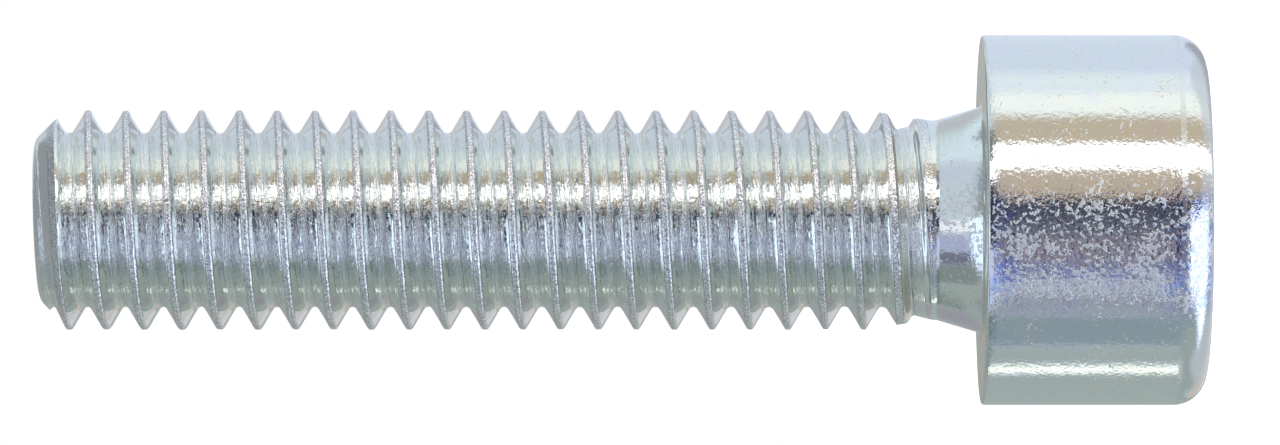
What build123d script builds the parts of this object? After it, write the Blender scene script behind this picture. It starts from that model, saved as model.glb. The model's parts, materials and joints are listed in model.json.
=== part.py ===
"""Hex socket cap screw, M6 x 1, 25 mm under the head: one piece of zinc-plated steel.

The screw stands on its head. +Z runs along its axis from the head to the tip, and the origin is
the centre of the bearing face, the plane that the head clamps with: the head reaches down from
it, and the threaded shank reaches up.
"""

from build123d import *
from math import ceil, cos, radians, sin, sqrt, tan
import os

# ---- Driving dimensions, millimetres and degrees ---------------------------------------------

# Lengths along the axis
length = 25.0             # bearing face to tip
head_height = 5.93        # bearing face to head top

# Thread: 60 degree metric profile, right-hand, rolled with rounded roots
thread_diameter = 5.83    # over the crests
pitch = 1.0
first_crest = 0.60        # height at which a crest would first cross the +X side
tip_chamfer = 0.80        # at the tip, 45 degrees

# Neck: the blank that the thread is rolled on, and the flare that joins it to the head
blank_drop = 0.275        # crest height over the blank, for each millimetre of pitch
flare_height = 1.20
flare_spread = 0.36       # how far the flare stands out from the blank at the bearing face
flare_fillet = 0.60       # softens the corner between flare and blank
bare_height = 0.12        # smooth blank between the flare and the first groove

# Run-out: from the blank, the groove sinks to the full root and the crest rises to full height
root_run_out = 1.30
crest_run_out = 1.70
crest_lag = 0.05          # height by which the crest starts after the groove

# Head
head_diameter = 9.78
head_edge_radius = 0.85   # rounded rim of the head top
bearing_edge_radius = 0.08

# Hexagon socket, open at the head top
socket_flats = 5.05       # across the flats
socket_depth = 3.20       # of the full hexagon
socket_floor_angle = 15.0  # rise of the forged floor towards the axis
mouth_margin = 0.12       # how far the lead-in reaches past the hexagon's corners
mouth_angle = 30.0        # fall of the lead-in

# ---- Values worked out from them -------------------------------------------------------------

crest_radius = thread_diameter / 2
head_radius = head_diameter / 2
blank_radius = crest_radius - blank_drop * pitch
flare_radius = blank_radius + flare_spread

sharp_height = sqrt(3) / 2 * pitch               # H, the height of the sharp 60 degree triangle
root_fillet = sharp_height / 6
root_radius = crest_radius - 17 / 24 * sharp_height
flank_foot_radius = root_radius + root_fillet / 2     # where the flank meets the rounded root

crest_half_turn = 360 / 16                       # the crest flat is pitch / 8 wide
root_half_turn = 360 / 8                         # the rounded root is pitch / 4 wide
root_start = 180 - root_half_turn
root_end = 180 + root_half_turn
flank_steps = 6
turns = ceil((length - first_crest) / pitch)

groove_start = flare_height + bare_height
crest_start = groove_start + crest_lag
groove_fall = (blank_radius - root_radius) / root_run_out
crest_rise = (crest_radius - blank_radius) / crest_run_out

socket_apothem = socket_flats / 2
socket_floor = socket_depth - head_height
mouth_radius = socket_flats / sqrt(3) + mouth_margin

clearance = 0.20          # lets cutting and joining bodies pass the faces they meet


def polar(radius, angle):
    """Point in the XY plane at a radius and an angle in degrees."""
    return (radius * cos(radians(angle)), radius * sin(radians(angle)))


def flank(start_angle, start_radius, end_angle, end_radius):
    """Points along a flank: its radius changes evenly with the angle, so it cuts straight
    in a section along the axis."""
    points = []
    for step in range(flank_steps + 1):
        share = step / flank_steps
        angle = start_angle + (end_angle - start_angle) * share
        radius = start_radius + (end_radius - start_radius) * share
        points.append(polar(radius, angle))
    return points


# ---- One turn of thread: its section across the axis, turned once as it rises by the pitch ----

with BuildPart() as thread_turn:
    with BuildSketch():
        with BuildLine():
            ThreePointArc(
                polar(crest_radius, -crest_half_turn),
                polar(crest_radius, 0),
                polar(crest_radius, crest_half_turn),
            )
            Spline(*flank(crest_half_turn, crest_radius, root_start, flank_foot_radius))
            ThreePointArc(
                polar(flank_foot_radius, root_start),
                polar(root_radius, 180),
                polar(flank_foot_radius, root_end),
            )
            Spline(*flank(root_end, flank_foot_radius, 360 - crest_half_turn, crest_radius))
        make_face()
    twist = Edge.make_helix(pitch, pitch, crest_radius)
    sweep(path=Edge.make_line((0, 0, 0), (0, 0, pitch)), binormal=twist)

# ---- The screw -------------------------------------------------------------------------------

with BuildPart() as cap_screw:
    # Threaded rod: whole turns, stacked from the first crest to past the tip
    with Locations(*[(0, 0, first_crest + turn * pitch) for turn in range(turns)]):
        add(thread_turn.part)

    # It is turned down to the cone on which the crest runs out, and to the chamfer at the tip
    with BuildSketch(Plane.XZ):
        with BuildLine():
            outer_radius = crest_radius + clearance
            Polyline(
                (0, flare_height),
                (blank_radius - crest_rise * (crest_start - flare_height), flare_height),
                (outer_radius, crest_start + (outer_radius - blank_radius) / crest_rise),
                (outer_radius, length - tip_chamfer - clearance),
                (crest_radius - tip_chamfer, length),
                (0, length),
                close=True,
            )
        make_face()
    revolve(axis=Axis.Z, mode=Mode.INTERSECT)

    # Neck: the flare, the bare blank, and the core cone on which the groove runs out
    with BuildSketch(Plane.XZ):
        with BuildLine():
            Polyline(
                (0, -clearance),
                (flare_radius, -clearance),
                (flare_radius, 0),
                (blank_radius, flare_height),
                (blank_radius, groove_start),
                (root_radius - groove_fall * clearance, groove_start + root_run_out + clearance),
                (0, groove_start + root_run_out + clearance),
                close=True,
            )
        make_face()
        fillet(vertices().sort_by_distance((blank_radius, flare_height))[0], flare_fillet)
    revolve(axis=Axis.Z)

    # Head: a round bar with a rounded rim at its top and a broken edge at the bearing face
    with BuildSketch(Plane.XZ):
        with BuildLine():
            Polyline(
                (0, 0),
                (head_radius, 0),
                (head_radius, -head_height),
                (0, -head_height),
                close=True,
            )
        make_face()
        fillet(vertices().sort_by_distance((head_radius, -head_height))[0], head_edge_radius)
        fillet(vertices().sort_by_distance((head_radius, 0))[0], bearing_edge_radius)
    revolve(axis=Axis.Z)

    # Socket: the hexagon, its shallow conical floor, and the lead-in that breaks its corners
    with BuildSketch(Plane.XY.offset(-head_height)):
        RegularPolygon(socket_apothem, 6, major_radius=False)
    extrude(amount=socket_depth, mode=Mode.SUBTRACT)
    with BuildSketch(Plane.XZ):
        with BuildLine():
            Polyline(
                (0, socket_floor - clearance),
                (socket_apothem, socket_floor - clearance),
                (socket_apothem, socket_floor),
                (0, socket_floor + socket_apothem * tan(radians(socket_floor_angle))),
                close=True,
            )
        make_face()
    revolve(axis=Axis.Z, mode=Mode.SUBTRACT)
    with BuildSketch(Plane.XZ):
        with BuildLine():
            Polyline(
                (0, -head_height - clearance),
                (mouth_radius, -head_height - clearance),
                (mouth_radius, -head_height),
                (0, -head_height + mouth_radius * tan(radians(mouth_angle))),
                close=True,
            )
        make_face()
    revolve(axis=Axis.Z, mode=Mode.SUBTRACT)

cap_screw.part.label = "cap_screw"
os.makedirs("parts", exist_ok=True)
export_step(cap_screw.part, "parts/cap_screw.step")
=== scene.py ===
"""Looks of the hex socket cap screw: a rolled M6 thread and a forged head in bright zinc plate.

The mesh stands for the CAD node cap_screw and keeps its sizes. Lengths are in millimetres
until the mesh is made. +Z runs from the head to the tip, and the bearing face is at z = 0.
"""

import json
import math

import bpy
import numpy as np
from mathutils import Matrix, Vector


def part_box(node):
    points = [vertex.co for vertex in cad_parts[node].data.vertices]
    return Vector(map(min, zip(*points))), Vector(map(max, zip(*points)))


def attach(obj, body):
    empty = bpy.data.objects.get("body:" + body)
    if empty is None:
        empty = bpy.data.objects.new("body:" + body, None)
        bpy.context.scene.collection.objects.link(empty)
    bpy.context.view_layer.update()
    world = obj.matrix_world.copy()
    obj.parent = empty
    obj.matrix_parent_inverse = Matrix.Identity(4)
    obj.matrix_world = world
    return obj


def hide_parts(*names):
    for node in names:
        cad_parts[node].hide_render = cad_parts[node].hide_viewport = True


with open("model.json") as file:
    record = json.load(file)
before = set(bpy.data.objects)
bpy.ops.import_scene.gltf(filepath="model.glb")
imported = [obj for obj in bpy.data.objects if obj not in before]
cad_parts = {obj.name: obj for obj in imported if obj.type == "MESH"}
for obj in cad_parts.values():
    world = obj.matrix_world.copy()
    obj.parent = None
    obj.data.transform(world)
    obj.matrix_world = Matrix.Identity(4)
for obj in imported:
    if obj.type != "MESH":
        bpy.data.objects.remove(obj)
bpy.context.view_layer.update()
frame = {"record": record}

MM = 0.001

# ---- Sizes from the frame --------------------------------------------------------------------

mounts = {mount["name"]: mount["dims"] for mount in frame["record"]["mounts"]}
lowest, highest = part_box("cap_screw")
head_height = -lowest.z / MM
length = highest.z / MM
head_radius = mounts["head_side"]["r_mm"]
crest_radius = mounts["thread"]["r_mm"]
socket_apothem = mounts["hex_socket"]["r_mm"]
socket_depth = mounts["hex_socket"]["length_mm"]

# ---- Sizes of the thread and the neck, as in the CAD part ------------------------------------

pitch = 1.0
first_crest = 0.60           # height at which a crest would first cross the +X side
thread_depth = 17 / 24 * math.sqrt(3) / 2 * pitch
crest_rounding = 0.026       # how far the rounding of the crest's edges reaches down
flank_hollow = 0.012         # the rolled flanks aren't quite straight
root_fillet = math.sqrt(3) / 12 * pitch
root_radius = crest_radius - thread_depth
blank_radius = crest_radius - 0.275 * pitch
flare_height = 1.20
flare_radius = blank_radius + 0.36
flare_fillet = 0.60
groove_start = flare_height + 0.12
crest_start = groove_start + 0.05
groove_fall = (blank_radius - root_radius) / 1.30
crest_rise = (crest_radius - blank_radius) / 1.70
tip_chamfer = 0.80
tip_rounding = 0.40          # between the chamfer and the end face
end_lean = 0.033             # the sheared end face isn't quite square: its slope
end_lean_height = 1.1        # length below the tip over which the lean grows
head_edge_radius = 0.85
rim_start = head_edge_radius - head_height
bearing_edge_radius = 0.08
end_radius = crest_radius - tip_chamfer
tip_rounding_reach = tip_rounding * math.tan(math.radians(45 / 2))
mouth_radius = 2 * socket_apothem / math.sqrt(3) + 0.12
mouth_slope = math.tan(math.radians(30))
floor_slope = math.tan(math.radians(15))

# ---- Mesh ------------------------------------------------------------------------------------

COLUMNS = 120                # round the axis, a multiple of six so that columns meet the corners
columns = np.arange(COLUMNS)
angles = columns * 2 * np.pi / COLUMNS

# Rows across one pitch, from crest to crest, as shares of the pitch
half_rows = [0, 0.022, 0.045, 0.0625, 0.08, 0.12, 0.19, 0.26, 0.33, 0.375, 0.41, 0.455]
row_shares = np.array(half_rows + [0.5] + [1 - share for share in half_rows[:0:-1]])
ROWS = len(row_shares)


def smooth_step(value):
    """0 below 0, 1 above 1, and an even curve between."""
    value = np.clip(value, 0, 1)
    return value * value * (3 - 2 * value)


def thread_depth_at(distance):
    """Depth under the crest at an axial distance, in pitches, from the crest's middle."""
    crest_edge = 1 / 16
    root_edge = 3 / 8
    seam_depth, seam_width = 0.016, 0.020
    flank = (distance - crest_edge) * pitch * math.sqrt(3)
    along = np.clip((distance - crest_edge) / (root_edge - crest_edge), 0, 1)
    flank = flank + flank_hollow * np.sin(np.pi * along)
    rounded_flank = (flank + np.sqrt(flank ** 2 + 4 * crest_rounding ** 2)) / 2
    across = np.clip((0.5 - distance) * pitch, 0, root_fillet)
    root_centre = thread_depth - root_fillet
    root = root_centre + np.sqrt(root_fillet ** 2 - across ** 2)
    seam = seam_depth * np.exp(-(distance / seam_width) ** 2)   # where the rolled metal closed up
    return np.where(distance < root_edge, rounded_flank, root) + seam


# Small random dents along the crests in millimetres, one for each column of each turn
DENT_TURNS = 40              # more than the thread has, so that none comes twice
dents = np.random.default_rng(4).normal(0, 0.0065, (DENT_TURNS, COLUMNS))


def crest_wear(turns, distance, column):
    """How far the rolled crest falls short at a column, in millimetres."""
    highest_bump = 0.006
    dent_width = 0.075       # in pitches
    along = 2 * np.pi * turns
    slow = 0.006 + 0.004 * np.sin(0.37 * along + 1.3) + 0.002 * np.sin(0.83 * along)
    dent = dents[np.round(turns).astype(int) % DENT_TURNS, column]
    return slow + np.maximum(dent, -highest_bump) * np.exp(-(distance / dent_width) ** 2)


def tip_cone(height):
    """Radius of the tip's chamfer, with its rounding into the end face."""
    below = length - height
    straight = end_radius + below
    rise = np.clip(tip_rounding - below, 0, tip_rounding)
    across = np.sqrt(np.maximum(tip_rounding ** 2 - rise ** 2, 0))
    rounded = end_radius - tip_rounding_reach + across
    return np.where(below < tip_rounding_reach * math.sqrt(0.5), rounded, straight)


def shank_radius(height, column):
    """Radius of the threaded shank's surface at a height, on one column or on all of them."""
    wear_height = 2.2        # length over which the wear grows from the start of the crest
    turns = (height - first_crest) / pitch - column / COLUMNS
    distance = np.abs(turns - np.round(turns))
    wear = smooth_step((height - crest_start) / wear_height)
    wear = wear * crest_wear(turns, distance, column)
    thread = crest_radius - thread_depth_at(distance) - wear
    crest = blank_radius + crest_rise * (height - crest_start)
    core = np.maximum(blank_radius - groove_fall * (height - groove_start), 0)
    core = np.minimum(core, blank_radius)
    return np.minimum(np.maximum(np.minimum(thread, crest), core), tip_cone(height))


def arc(centre_r, centre_z, radius, start, end, steps):
    """Points (r, z) on an arc, from one angle in degrees to another."""
    turn = np.radians(np.linspace(start, end, steps + 1))
    return [(centre_r + radius * math.cos(t), centre_z + radius * math.sin(t)) for t in turn]


class Surface:
    """Vertices, faces and sharp edges of one closed mesh, built ring by ring round Z."""

    def __init__(self):
        self.vertices = []
        self.faces = []
        self.sharp = set()

    def ring(self, radius, height):
        """Adds a ring of vertices. Radius and height are numbers, or one for each column."""
        radius = np.broadcast_to(radius, COLUMNS)
        height = np.broadcast_to(height, COLUMNS)
        first = len(self.vertices)
        for r, z, angle in zip(radius, height, angles):
            self.vertices.append((r * math.cos(angle), r * math.sin(angle), z))
        return list(range(first, first + COLUMNS))

    def join(self, upper, lower):
        """Faces between two rings, the upper one nearer to the tip along the surface."""
        for column in range(COLUMNS):
            after = (column + 1) % COLUMNS
            self.faces.append((upper[column], lower[column], lower[after], upper[after]))

    def crease(self, ring):
        """Marks a ring's edges as sharp."""
        for column in range(COLUMNS):
            self.sharp.add(frozenset((ring[column], ring[(column + 1) % COLUMNS])))

    def cap(self, ring, height, upward):
        """Closes a ring with a fan to a point on the axis."""
        centre = len(self.vertices)
        self.vertices.append((0.0, 0.0, height))
        for column in range(COLUMNS):
            after = (column + 1) % COLUMNS
            face = (ring[column], ring[after], centre)
            self.faces.append(face if upward else face[::-1])


def add_thread(surface, low, high):
    """The threaded shank between two level rings, on rows that follow the helix.

    Row j of every column lies on the same line of the thread. One turn round the screw, row j
    meets row j + ROWS, and the rows that would cross a level ring stop short of it.
    """
    slack = 0.012            # every row stays this far from the level rings
    rows_of_column = []      # for each column, its rows and their vertices
    for column, angle in enumerate(angles):
        rows = {}
        shift = first_crest + angle / (2 * np.pi) * pitch
        first_turn = math.floor((low - shift) / pitch) - 1
        last_turn = math.ceil((high - shift) / pitch) + 1
        for turn in range(first_turn, last_turn + 1):
            for row, share in enumerate(row_shares):
                height = shift + (turn + share) * pitch
                if low + slack < height < high - slack:
                    radius = float(shank_radius(height, column))
                    rows[turn * ROWS + row] = len(surface.vertices)
                    point = (radius * math.cos(angle), radius * math.sin(angle), height)
                    surface.vertices.append(point)
        rows_of_column.append(rows)
    bottom = surface.ring(shank_radius(low, columns), low)
    top = surface.ring(shank_radius(high, columns), high)
    for column in range(COLUMNS):
        after = (column + 1) % COLUMNS
        turn_rows = ROWS if after == 0 else 0      # column 0 is met one turn further on
        left_rows = list(rows_of_column[column])
        right_rows = [row - turn_rows for row in rows_of_column[after]]
        left_line = [bottom[column], *rows_of_column[column].values(), top[column]]
        right_line = [bottom[after], *rows_of_column[after].values(), top[after]]
        shared = sorted(set(left_rows) & set(right_rows))
        for row in shared[:-1]:
            left = left_rows.index(row) + 1
            right = right_rows.index(row) + 1
            upper = (right_line[right + 1], left_line[left + 1])
            surface.faces.append((left_line[left], right_line[right], *upper))
        # One larger face closes the gap to each level ring
        left = left_rows.index(shared[0]) + 1
        right = right_rows.index(shared[0]) + 1
        surface.faces.append((*right_line[:right + 1], *left_line[:left + 1][::-1]))
        left = left_rows.index(shared[-1]) + 1
        right = right_rows.index(shared[-1]) + 1
        surface.faces.append((*left_line[left:][::-1], *right_line[right:]))
    return bottom, top


def add_tip(surface, ring, start):
    """The rounding of the tip and its end face, from a level ring up to the axis."""
    flat_radius = end_radius - tip_rounding_reach
    profile = [(float(tip_cone(height)), height) for height in (start + 0.015, start + 0.035)]
    profile += arc(flat_radius, length - tip_rounding, tip_rounding, 45, 90, 5)
    profile += [(flat_radius * share, length) for share in (0.95, 0.7, 0.35)]
    for radius, height in profile:
        above = surface.ring(radius, height)
        surface.join(above, ring)
        ring = above
    surface.cap(ring, length, upward=True)


def add_head(surface, ring):
    """Neck, bearing face, head side, rim, lead-in and socket, from a level ring down."""
    lean = math.atan((flare_radius - blank_radius) / flare_height)
    centre_r = blank_radius + flare_fillet
    centre_z = flare_height + flare_fillet * math.tan(lean / 2)
    profile = arc(centre_r, centre_z, flare_fillet, 180, 180 + math.degrees(lean), 4)
    foot = 0.05              # a small fillet where the flare meets the bearing face
    profile += [
        (blank_radius + 0.5 * (flare_radius - blank_radius), 0.5 * flare_height),
        (flare_radius - foot * math.tan(lean), foot),
        (flare_radius + 0.012, 0.014),
        (flare_radius + foot, 0),
    ]
    profile += [(flare_radius + 0.3, 0), (0.5 * (flare_radius + head_radius), 0)]
    corner = head_radius - bearing_edge_radius
    profile += [(corner - 0.05, 0)]
    profile += arc(corner, -bearing_edge_radius, bearing_edge_radius, 90, 0, 4)
    side_length = rim_start + bearing_edge_radius
    for share in np.linspace(0, 1, 14)[1:-1]:
        profile.append((head_radius, -bearing_edge_radius + share * side_length))
    profile += arc(head_radius - head_edge_radius, rim_start, head_edge_radius, 0, -90, 14)
    profile += [(mouth_radius + 0.5, -head_height), (mouth_radius + 0.06, -head_height)]
    for radius, height in profile:
        below = surface.ring(radius, height)
        surface.join(ring, below)
        ring = below

    mouth = surface.ring(mouth_radius, -head_height)
    surface.join(ring, mouth)
    surface.crease(mouth)
    hexagon = socket_apothem / np.cos((angles % (np.pi / 3)) - np.pi / 6)
    lip_height = -head_height + (mouth_radius - hexagon) * mouth_slope
    lip = surface.ring(hexagon, lip_height)
    surface.join(mouth, lip)
    surface.crease(lip)
    floor_height = socket_depth - head_height
    ring = lip
    for share in np.linspace(0, 1, 9)[1:]:      # the socket's walls, with sharp corners
        wall = surface.ring(hexagon, lip_height + share * (floor_height - lip_height))
        surface.join(ring, wall)
        for column in range(0, COLUMNS, COLUMNS // 6):
            surface.sharp.add(frozenset((ring[column], wall[column])))
        ring = wall
    surface.crease(ring)
    for share in (0.985, 0.7, 0.35):
        radius = socket_apothem * share
        inner = surface.ring(radius, floor_height + (socket_apothem - radius) * floor_slope)
        surface.join(ring, inner)
        ring = inner
    surface.cap(ring, floor_height + socket_apothem * floor_slope, upward=False)


def make_screw():
    """The whole screw as one closed mesh object, in metres."""
    surface = Surface()
    low = groove_start - 0.02                            # on the bare blank
    high = length - root_radius + end_radius + 0.015     # where the chamfer has cut off the root
    bottom, top = add_thread(surface, low, high)
    add_tip(surface, top, high)
    add_head(surface, bottom)

    # The end face leans, and nothing passes the CAD piece's box
    points = np.array(surface.vertices)
    lean_from = length - end_lean_height
    weight = smooth_step((points[:, 2] - lean_from) / (length - lean_from))
    away = np.maximum(end_radius - points[:, 0], 0)
    points[:, 2] -= end_lean * away * weight
    points = np.clip(points, np.array(lowest) / MM, np.array(highest) / MM)
    mesh = bpy.data.meshes.new("screw")
    mesh.from_pydata((points * MM).tolist(), [], surface.faces)
    mesh.validate()
    mesh.update()
    mesh.polygons.foreach_set("use_smooth", [True] * len(mesh.polygons))
    sharp = mesh.attributes.new("sharp_edge", "BOOLEAN", "EDGE")
    flags = [frozenset(edge.vertices) in surface.sharp for edge in mesh.edges]
    sharp.data.foreach_set("value", flags)
    screw = bpy.data.objects.new("screw", mesh)
    bpy.context.scene.collection.objects.link(screw)
    return screw


screw = make_screw()
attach(screw, "root")
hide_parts("cap_screw")

# ---- Node helpers ----------------------------------------------------------------------------


class Nodes:
    """Shorthand for building a node tree. Inputs are sockets, numbers or tuples."""

    def __init__(self, tree):
        self.tree = tree
        tree.nodes.clear()

    def put(self, kind, inputs=(), output=0, **settings):
        """Adds a node, sets it up and returns one of its outputs."""
        node = self.tree.nodes.new(kind)
        for name, value in settings.items():
            setattr(node, name, value)
        pairs = inputs.items() if isinstance(inputs, dict) else enumerate(inputs)
        for key, value in pairs:
            if isinstance(value, bpy.types.NodeSocket):
                self.tree.links.new(value, node.inputs[key])
            else:
                node.inputs[key].default_value = value
        return node.outputs[output] if node.outputs else None

    def split(self, vector):
        """The three parts of a vector."""
        node = self.tree.nodes.new("ShaderNodeSeparateXYZ")
        self.tree.links.new(vector, node.inputs[0])
        return tuple(node.outputs)

    def math(self, operation, *inputs):
        """A number worked out from other numbers."""
        return self.put("ShaderNodeMath", inputs, operation=operation)

    def between(self, value, low, high):
        """0 below low, 1 above high, even between; high may be the smaller one."""
        inputs = {"Value": value, "From Min": low, "From Max": high}
        return self.put("ShaderNodeMapRange", inputs, interpolation_type="SMOOTHSTEP")

    def mix(self, share, first, second):
        """Blends two colours. Input slots 6 and 7 of the node are its colours."""
        first, second = ((*c, 1) if isinstance(c, tuple) else c for c in (first, second))
        inputs = {0: share, 6: first, 7: second}
        return self.put("ShaderNodeMix", inputs, output=2, data_type="RGBA")


# ---- Zinc plate ------------------------------------------------------------------------------

# Colours of the metal under its clear film, from broad tints to single spots
BLUE_ZINC = (0.815, 0.850, 0.880)
GREEN_ZINC = (0.805, 0.860, 0.850)
STRAW_ZINC = (0.86, 0.84, 0.80)
VIOLET_ZINC = (0.80, 0.80, 0.91)
THREAD_ZINC = (0.835, 0.852, 0.828)
BLUE_FILM = (0.50, 0.60, 0.93)
WARM_FILM = (0.80, 0.72, 0.68)
SPECK_COLOUR = (0.93, 0.94, 0.96)
DOT_COLOUR = (1.0, 1.0, 1.0)
BEARING_COLOUR = (0.84, 0.79, 0.66)
DARK_SAND = (0.58, 0.57, 0.63)
LIGHT_SAND = (1.0, 0.99, 0.98)

# Heights of the relief in metres
RIPPLE_HEIGHT = 4e-6
SPECK_HEIGHT = 7e-6
GRAIN_HEIGHT = 7.5e-6
MARK_HEIGHT = 3.2e-5


def zinc_plate():
    """Bright zinc with a clear bluish passivation: nearly a mirror, with rolling marks in the
    thread's roots, sandy crests, frosted specks, fine grain, and faint tints."""
    material = bpy.data.materials.new("zinc_plate")
    material.use_nodes = True
    nodes = Nodes(material.node_tree)
    place = nodes.put("ShaderNodeTexCoord", output="Object")
    place = nodes.put("ShaderNodeVectorMath", {0: place, "Scale": 1 / MM}, operation="SCALE")
    x, y, z = nodes.split(place)
    angle = nodes.math("ARCTAN2", y, x)
    from_axis = nodes.math("MULTIPLY_ADD", y, y, nodes.math("MULTIPLY", x, x))
    from_axis = nodes.math("SQRT", from_axis)

    def noise(scale, detail=3, roughness=0.6, vector=place, distortion=0.0):
        inputs = {"Vector": vector, "Scale": scale, "Detail": detail, "Roughness": roughness}
        inputs["Distortion"] = distortion
        return nodes.put("ShaderNodeTexNoise", inputs)

    # Place along the thread: phase is 0 on a crest and 0.5 in the root, travel is in mm
    turned = nodes.math("MULTIPLY", angle, 1 / (2 * math.pi))
    turns = nodes.math("MULTIPLY", nodes.math("SUBTRACT", z, first_crest), 1 / pitch)
    turns = nodes.math("SUBTRACT", turns, turned)
    whole = nodes.math("FLOOR", turns)
    phase = nodes.math("SUBTRACT", turns, whole)
    travel = nodes.math("ADD", whole, turned)
    travel = nodes.math("MULTIPLY", travel, 2 * math.pi * crest_radius)
    off_crest = nodes.math("PINGPONG", turns, 0.5)
    on_shank = nodes.between(z, crest_start - 0.2, crest_start + 0.4)
    on_root = nodes.math("MULTIPLY", nodes.between(off_crest, 0.32, 0.40), on_shank)
    on_crest = nodes.math("MULTIPLY", nodes.between(off_crest, 0.115, 0.085), on_shank)

    # Rolling marks: long along the thread and 17 times as fine across it
    across = nodes.math("MULTIPLY", phase, 17)
    unrolled = nodes.put("ShaderNodeCombineXYZ", [across, travel, 0])
    marks = noise(1.0, 2, 0.6, unrolled)

    # Frosted specks of zinc crystals: many in fields on the -Y side of the head and the shank,
    # and a few in clusters everywhere else; on the thread they are fainter
    field = nodes.math("MULTIPLY", nodes.between(x, 1.0, 0.4), nodes.between(x, -2.7, -1.9))
    field = nodes.math("MULTIPLY", field, nodes.between(y, -2.0, -3.6))
    field = nodes.math("MULTIPLY", field, nodes.between(z, 0.0, -0.2))
    chance = nodes.math("MULTIPLY_ADD", noise(1.3, 2), 0.45, noise(8.0, 2, 0.55, distortion=0.4))
    chance = nodes.math("MULTIPLY_ADD", field, 0.130, chance)
    neck_field = nodes.math("MULTIPLY", nodes.between(x, 1.3, 0.7), nodes.between(x, -1.6, -1.0))
    neck_field = nodes.math("MULTIPLY", neck_field, nodes.between(y, -1.2, -2.0))
    neck_field = nodes.math("MULTIPLY", neck_field, nodes.between(z, 0.0, 0.1))
    chance = nodes.math("MULTIPLY_ADD", neck_field, 0.12, chance)
    speck = nodes.between(chance, 0.905, 0.955)
    speck = nodes.math("MULTIPLY", speck, nodes.math("MULTIPLY_ADD", on_shank, -0.6, 1.0))
    grain = noise(9.5, 2.5, 0.5)
    ripple = noise(3.2, 2, 0.5)

    # Broad tints
    film = noise(0.55)
    drift = noise(1.3, 2, 0.5)
    tint = nodes.mix(nodes.between(film, 0.38, 0.62), BLUE_ZINC, GREEN_ZINC)
    straw = nodes.math("MULTIPLY", nodes.between(drift, 0.54, 0.70), 0.5)
    tint = nodes.mix(straw, tint, STRAW_ZINC)
    violet = nodes.math("MULTIPLY", nodes.between(drift, 0.44, 0.30), 0.6)
    tint = nodes.mix(violet, tint, VIOLET_ZINC)
    tint = nodes.mix(nodes.math("MULTIPLY", on_shank, 0.8), tint, THREAD_ZINC)

    # Blue patches near both ends of the head's field, and warm mottling all over it
    from_middle = nodes.math("MULTIPLY_ADD", z, 0.5, 1.35)      # half the distance from z = -2.7
    from_middle = nodes.math("ABSOLUTE", from_middle)
    blue = nodes.math("MULTIPLY", field, nodes.between(from_middle, 0.75, 1.15))
    blue = nodes.math("MULTIPLY", blue, nodes.between(noise(1.6, 2), 0.40, 0.60))
    tint = nodes.mix(blue, tint, BLUE_FILM)
    mottle = nodes.math("MULTIPLY", field, nodes.between(noise(4.5, 2), 0.42, 0.60))
    tint = nodes.mix(nodes.math("MULTIPLY", mottle, 0.6), tint, WARM_FILM)

    # Specks, small white dots, the duller bearing face and the sandy crests
    tint = nodes.mix(nodes.math("MULTIPLY", speck, 0.8), tint, SPECK_COLOUR)
    dots = nodes.math("MULTIPLY_ADD", field, 0.06, noise(15.0, 1.5, 0.5))
    dots = nodes.between(dots, 0.70, 0.75)
    tint = nodes.mix(dots, tint, DOT_COLOUR)
    bearing = nodes.math(
        "MULTIPLY",
        nodes.between(z, -0.03, -0.005),
        nodes.between(from_axis, flare_radius + 0.02, flare_radius + 0.08),
    )
    tint = nodes.mix(bearing, tint, BEARING_COLOUR)
    sand = nodes.mix(nodes.between(noise(19.0, 2), 0.38, 0.62), DARK_SAND, LIGHT_SAND)
    tint = nodes.mix(nodes.math("MULTIPLY", on_crest, 0.9), tint, sand)

    # Roughness, with a duller line that softens the change from the head's side to its rim
    rough = nodes.math("MULTIPLY_ADD", noise(4.0, 2), 0.10, 0.03)
    rough = nodes.math("MULTIPLY_ADD", on_shank, -0.025, rough)
    rough = nodes.math("MULTIPLY_ADD", speck, 0.42, rough)
    rough = nodes.math("MULTIPLY_ADD", dots, 0.30, rough)
    rough = nodes.math("MULTIPLY_ADD", on_crest, 0.20, rough)
    rough = nodes.math("MULTIPLY_ADD", bearing, 0.25, rough)
    rim_line = nodes.math(
        "MULTIPLY",
        nodes.between(z, rim_start + 0.06, rim_start),
        nodes.between(z, rim_start - 0.16, rim_start - 0.09),
    )
    rough = nodes.math("MULTIPLY_ADD", rim_line, 0.20, rough)

    # Grain: stronger in the head's field, on the tip and in the roots, strongest on the crests
    strength = nodes.math("MULTIPLY_ADD", field, 0.8, 0.7)
    strength = nodes.math("MULTIPLY_ADD", on_shank, -0.50, strength)
    strength = nodes.math("MULTIPLY_ADD", on_crest, 5.0, strength)
    on_tip = nodes.between(z, length - tip_chamfer, length - tip_chamfer + 0.1)
    strength = nodes.math("MULTIPLY_ADD", on_tip, 1.0, strength)
    strength = nodes.math("MULTIPLY_ADD", on_root, 1.3, strength)
    grain = nodes.math("MULTIPLY", grain, strength)

    # Rolling marks: nearly all of them in the roots
    strength = nodes.math("MULTIPLY_ADD", on_root, 1.9, 0.05)
    strength = nodes.math("MULTIPLY", strength, on_shank)
    marks = nodes.math("MULTIPLY", marks, strength)

    # Relief, one layer on the other
    layers = (
        (RIPPLE_HEIGHT, ripple),
        (SPECK_HEIGHT, speck),
        (GRAIN_HEIGHT, grain),
        (MARK_HEIGHT, marks),
    )
    inputs = {"Strength": 1.0}
    for full_height, relief in layers:
        inputs["Distance"] = full_height
        inputs["Height"] = relief
        inputs["Normal"] = nodes.put("ShaderNodeBump", inputs)

    inputs = {"Base Color": tint, "Roughness": rough, "Normal": inputs["Normal"], "Metallic": 1.0}
    surface = nodes.put("ShaderNodeBsdfPrincipled", inputs)
    nodes.put("ShaderNodeOutputMaterial", {"Surface": surface})
    return material


screw.data.materials.append(zinc_plate())

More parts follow.
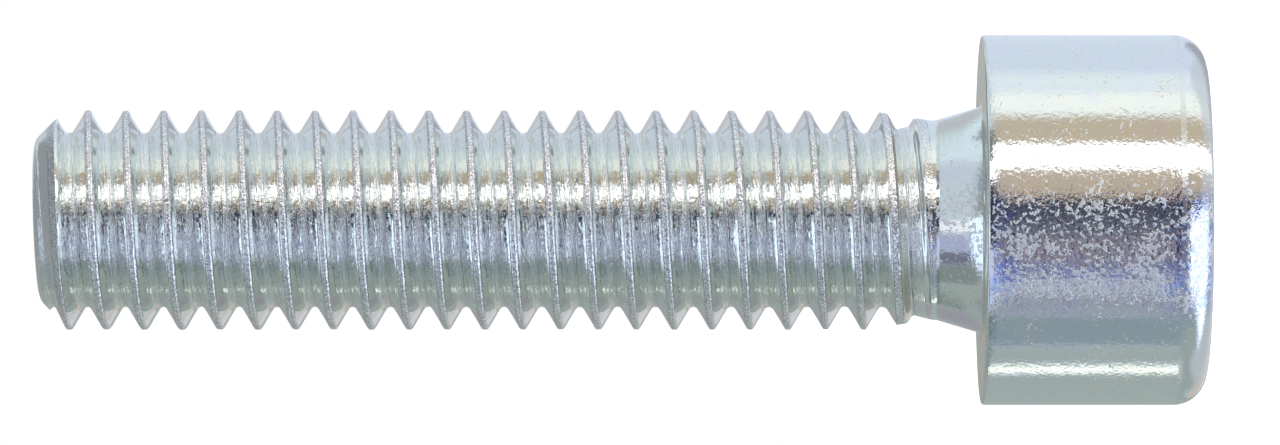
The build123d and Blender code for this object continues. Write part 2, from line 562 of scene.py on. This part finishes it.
# ---- Studio ----------------------------------------------------------------------------------

# Soft panels that stand all round the screw, parallel to it: from and to, in degrees round the
# axis from -Y towards +X, the softness of the edges, and the colour
LEVEL_PANELS = {
    "low fill": (-180, -111, 8, (0.395, 0.458, 0.443)),
    "low edge light": (-110.5, -103, 3, (1.30, 1.33, 1.20)),
    "low bounce": (-102, -86, 8, (0.40, 0.46, 0.45)),
    "grey card": (-86, -60, 8, (0.28, 0.35, 0.385)),
    "bench": (-60, -46, 4, (0.35, 0.37, 0.46)),
    "bench edge": (-46, -36, 4, (0.55, 0.60, 0.71)),
    "blue card": (-36, -28, 5, (0.15, 0.18, 0.43)),
    "lilac shade": (-28, -10, 6, (0.275, 0.25, 0.31)),
    "shade": (-10, -1, 5, (0.15, 0.155, 0.21)),
    "lens shadow": (-1, 14, 4, (0.075, 0.085, 0.125)),
    "warm card below": (14, 34, 3, (0.575, 0.475, 0.375)),
    "key light": (33.5, 47, 6, (3.2, 3.2, 3.3)),
    "warm card above": (48, 68.5, 4, (0.61, 0.51, 0.385)),
    "top light": (68.5, 88, 8, (1.06, 1.08, 1.03)),
    "top light edge": (88, 104, 14, (0.88, 0.96, 0.99)),
}
# What the screw sees a little way up towards +Z, which the thread mirrors
RAISED_PANELS = {
    "mauve card": (120, 190, 20, (0.57, 0.58, 0.62)),
    "low mauve card": (-190, -118, 12, (0.36, 0.36, 0.38)),
    "dim fill": (-118, -84, 10, (0.21, 0.26, 0.25)),
    "green card": (-84, -56, 8, (0.18, 0.23, 0.225)),
    "blue window": (-56, -16, 14, (0.64, 0.73, 0.98)),
    "front shadow": (-16, 25, 7, (0.045, 0.045, 0.075)),
    "key light": (26, 35, 3, (3.0, 3.0, 2.9)),
    "key frame": (37, 58, 5, (0.22, 0.22, 0.23)),
}
# A little way down towards -Z, the front of the studio is darker still
LOWERED_PANELS = {
    "green card": (-62, -28, 14, (0.19, 0.23, 0.26)),
    "front shadow": (-28, 25, 10, (0.020, 0.023, 0.060)),
    "key light": (27, 36, 3, (3.0, 3.0, 2.9)),
    "key frame": (38, 56, 6, (0.42, 0.40, 0.38)),
}
# From there on down one plain fill covers the -X side
DEEP_PANELS = {
    "low fill": (-180, -70, 10, (0.36, 0.42, 0.41)),
}
# What the screw sees higher up, which the neck mirrors
HIGH_PANELS = {
    "dim fill": (-190, -80, 10, (0.37, 0.425, 0.395)),
    "dim card": (-80, -54, 8, (0.25, 0.285, 0.275)),
    "dark card": (-54, -38, 5, (0.20, 0.205, 0.26)),
    "blue light": (-38, -14, 8, (0.44, 0.48, 0.64)),
    "front light": (-15, -3, 5, (1.0, 1.0, 1.02)),
    "upper light": (72, 150, 14, (0.76, 0.87, 0.95)),
}
# Behind the screw on the +Y side, a little way down
BACK_PANELS = {
    "back light": (-177, -165, 4, (0.66, 0.66, 0.70)),
    "back warm card": (-165, -148, 5, (0.60, 0.54, 0.47)),
    "back grey card": (150, 176, 6, (0.40, 0.41, 0.46)),
    "back blue card": (136, 150, 6, (0.42, 0.47, 0.60)),
}

# The light between the panels of a table, and the plain light of some regions
LEVEL_LIGHT = (0.72, 0.80, 0.93)
RAISED_LIGHT = (0.64, 0.72, 0.73)
HIGH_LIGHT = (0.62, 0.69, 0.76)
BACK_LIGHT = (0.50, 0.56, 0.62)
OVERHEAD_LIGHT = (0.28, 0.32, 0.34)
BEYOND_LIGHT = (0.31, 0.34, 0.36)
UNDER_LIGHT = (0.61, 0.64, 0.69)
WINDOW_LIGHT = (1.5, 1.75, 2.1)
SEEN_WHITE = (1, 1, 1)

# Soft edges of the regions, in the parts x, y and z of a direction, where z runs from -1
# straight down to 1 straight up. A region is gone at the first number and full at the second
RAISED_Z = (0.05, 0.12)
LOWERED_Z = (-0.11, -0.15)
LOWERED_Z_END = (-0.34, -0.26)
DEEP_Z = (-0.09, -0.15)
HIGH_Z = (0.24, 0.38)
OVERHEAD_Z = (0.60, 0.78)
BEYOND_Z = (0.42, 0.52)
BEYOND_Y = (0.10, 0.25)
BACK_Z = (-0.17, -0.23)
BACK_Y = (0.70, 0.85)
UNDER_Z = (-0.35, -0.50)
UNDER_Y = (0.10, 0.35)
STRAIGHT_DOWN_Z = (-0.90, -0.97)
LOW_WINDOW_Z = (-0.40, -0.52)
LOW_WINDOW_Y = (0.42, 0.20)
HIGH_WINDOW_Z = (0.60, 0.68)
HIGH_WINDOW_Z_END = (0.86, 0.78)
HIGH_WINDOW_Y = (0.10, -0.10)
WINDOW_X = (0.10, 0.02)
WINDOW_X_END = (-0.76, -0.56)


def make_world():
    """Soft studio light all round, seen in the metal only. The camera sees plain white."""
    world = bpy.data.worlds.new("studio")
    bpy.context.scene.world = world
    world.use_nodes = True
    nodes = Nodes(world.node_tree)
    x, y, z = nodes.split(nodes.put("ShaderNodeTexCoord", output="Generated"))

    def panels(panel_table, azimuth, light):
        """Lays the panels of a table over a light, by an angle in degrees round the axis."""
        for low, high, soft, colour in panel_table.values():
            share = nodes.math(
                "MULTIPLY",
                nodes.between(azimuth, low - soft / 2, low + soft / 2),
                nodes.between(azimuth, high + soft / 2, high - soft / 2),
            )
            light = nodes.mix(share, light, colour)
        return light

    # Below the horizon the level and deep panels lean in and meet behind the screw
    front = nodes.math("MULTIPLY", y, -1)
    around = nodes.math("ARCTAN2", x, front)
    leaning = nodes.math("ARCTAN2", x, nodes.math("ADD", front, 1))
    leaning = nodes.math("MULTIPLY", leaning, 2)
    below = nodes.math("LESS_THAN", z, 0)
    degrees = 180 / math.pi
    change = nodes.math("MULTIPLY", below, nodes.math("SUBTRACT", leaning, around))
    leaning = nodes.math("MULTIPLY", nodes.math("ADD", around, change), degrees)
    around = nodes.math("MULTIPLY", around, degrees)
    light = panels(LEVEL_PANELS, leaning, LEVEL_LIGHT)

    # Regions above and below take over from the level panels
    raised = panels(RAISED_PANELS, around, RAISED_LIGHT)
    light = nodes.mix(nodes.between(z, *RAISED_Z), light, raised)
    lowered = panels(LOWERED_PANELS, around, light)
    band = nodes.math("MULTIPLY", nodes.between(z, *LOWERED_Z), nodes.between(z, *LOWERED_Z_END))
    light = nodes.mix(band, light, lowered)
    deep = panels(DEEP_PANELS, leaning, light)
    light = nodes.mix(nodes.between(z, *DEEP_Z), light, deep)
    high = panels(HIGH_PANELS, around, HIGH_LIGHT)
    light = nodes.mix(nodes.between(z, *HIGH_Z), light, high)
    light = nodes.mix(nodes.between(z, *OVERHEAD_Z), light, OVERHEAD_LIGHT)
    beyond = nodes.math("MULTIPLY", nodes.between(z, *BEYOND_Z), nodes.between(y, *BEYOND_Y))
    light = nodes.mix(beyond, light, BEYOND_LIGHT)

    # Behind the screw the panels change a little way down
    back = panels(BACK_PANELS, around, BACK_LIGHT)
    at_back = nodes.math("MULTIPLY", nodes.between(z, *BACK_Z), nodes.between(y, *BACK_Y))
    light = nodes.mix(at_back, light, back)

    # Low behind the screw, and straight below it, the light is mostly plain and grey
    under = nodes.math("MULTIPLY", nodes.between(z, *UNDER_Z), nodes.between(y, *UNDER_Y))
    under = nodes.math("MAXIMUM", under, nodes.between(z, *STRAIGHT_DOWN_Z))
    light = nodes.mix(nodes.math("MULTIPLY", under, 0.65), light, UNDER_LIGHT)

    # A window low down towards -Z lights the rim of the head, and one high up the thread
    low_y = nodes.between(y, *LOW_WINDOW_Y)
    window = nodes.math("MULTIPLY", nodes.between(z, *LOW_WINDOW_Z), low_y)
    high_window = nodes.between(y, *HIGH_WINDOW_Y)
    high_window = nodes.math("MULTIPLY", nodes.between(z, *HIGH_WINDOW_Z), high_window)
    high_window = nodes.math("MULTIPLY", high_window, nodes.between(z, *HIGH_WINDOW_Z_END))
    window = nodes.math("MULTIPLY_ADD", high_window, 0.6, window)
    window = nodes.math("MULTIPLY", window, nodes.between(x, *WINDOW_X))
    window = nodes.math("MULTIPLY", window, nodes.between(x, *WINDOW_X_END))
    light = nodes.mix(window, light, WINDOW_LIGHT)

    seen = nodes.put("ShaderNodeLightPath", output="Is Camera Ray")
    light = nodes.mix(seen, light, SEEN_WHITE)
    sky = nodes.put("ShaderNodeBackground", {"Color": light, "Strength": 1.0})
    nodes.put("ShaderNodeOutputWorld", {"Surface": sky})


def make_floor():
    """Plain pale floor under the head. It shows only its upper side."""
    radius, rings, sectors = 0.6, 12, 96
    mesh = bpy.data.meshes.new("floor")
    vertices = [(0, 0, lowest.z)]
    faces = []
    for ring in range(rings):
        reach = radius * ((ring + 1) / rings) ** 2
        for sector in range(sectors):
            turn = 2 * math.pi * sector / sectors
            vertices.append((reach * math.cos(turn), reach * math.sin(turn), lowest.z))
            here = 1 + ring * sectors + sector
            after = 1 + ring * sectors + (sector + 1) % sectors
            if ring == 0:
                faces.append((0, here, after))
            else:
                faces.append((here - sectors, here, after, after - sectors))
    mesh.from_pydata(vertices, [], faces)
    floor = bpy.data.objects.new("floor", mesh)
    bpy.context.scene.collection.objects.link(floor)
    material = bpy.data.materials.new("floor_pale")
    material.use_nodes = True
    nodes = Nodes(material.node_tree)
    place = nodes.put("ShaderNodeTexCoord", output="Object")
    cloud = nodes.put("ShaderNodeTexNoise", {"Vector": place, "Scale": 18.0, "Detail": 3})
    colour = nodes.mix(cloud, (0.93, 0.93, 0.93), (0.95, 0.95, 0.945))
    inputs = {
        "Base Color": colour,
        "Roughness": 0.8,
        "Specular IOR Level": 0.1,
        "Emission Color": (1, 1, 1, 1),
        "Emission Strength": 0.9,
    }
    solid = nodes.put("ShaderNodeBsdfPrincipled", inputs)
    back = nodes.put("ShaderNodeNewGeometry", output="Backfacing")
    clear = nodes.put("ShaderNodeBsdfTransparent")
    surface = nodes.put("ShaderNodeMixShader", [back, solid, clear])
    nodes.put("ShaderNodeOutputMaterial", {"Surface": surface})
    mesh.materials.append(material)
    floor.visible_glossy = False


def make_camera():
    """A long lens level with the middle of the screw, turned so that the head is on the right."""
    distance = 0.250             # from the screw's axis
    aim_x, aim_z = -0.000066, 0.00901
    camera = bpy.data.objects.new("camera", bpy.data.cameras.new("camera"))
    bpy.context.scene.collection.objects.link(camera)
    camera.data.sensor_width = 36
    camera.data.lens = 266
    camera.data.clip_start = 0.01
    camera.data.clip_end = 10
    right, up, back = (0, 0, -1), (1, 0, 0), (0, -1, 0)
    turned = Matrix((right, up, back)).transposed().to_4x4()
    camera.matrix_world = Matrix.Translation((aim_x, -distance, aim_z)) @ turned
    bpy.context.scene.camera = camera


make_world()
make_floor()
make_camera()
bpy.context.scene.view_settings.view_transform = "Standard"
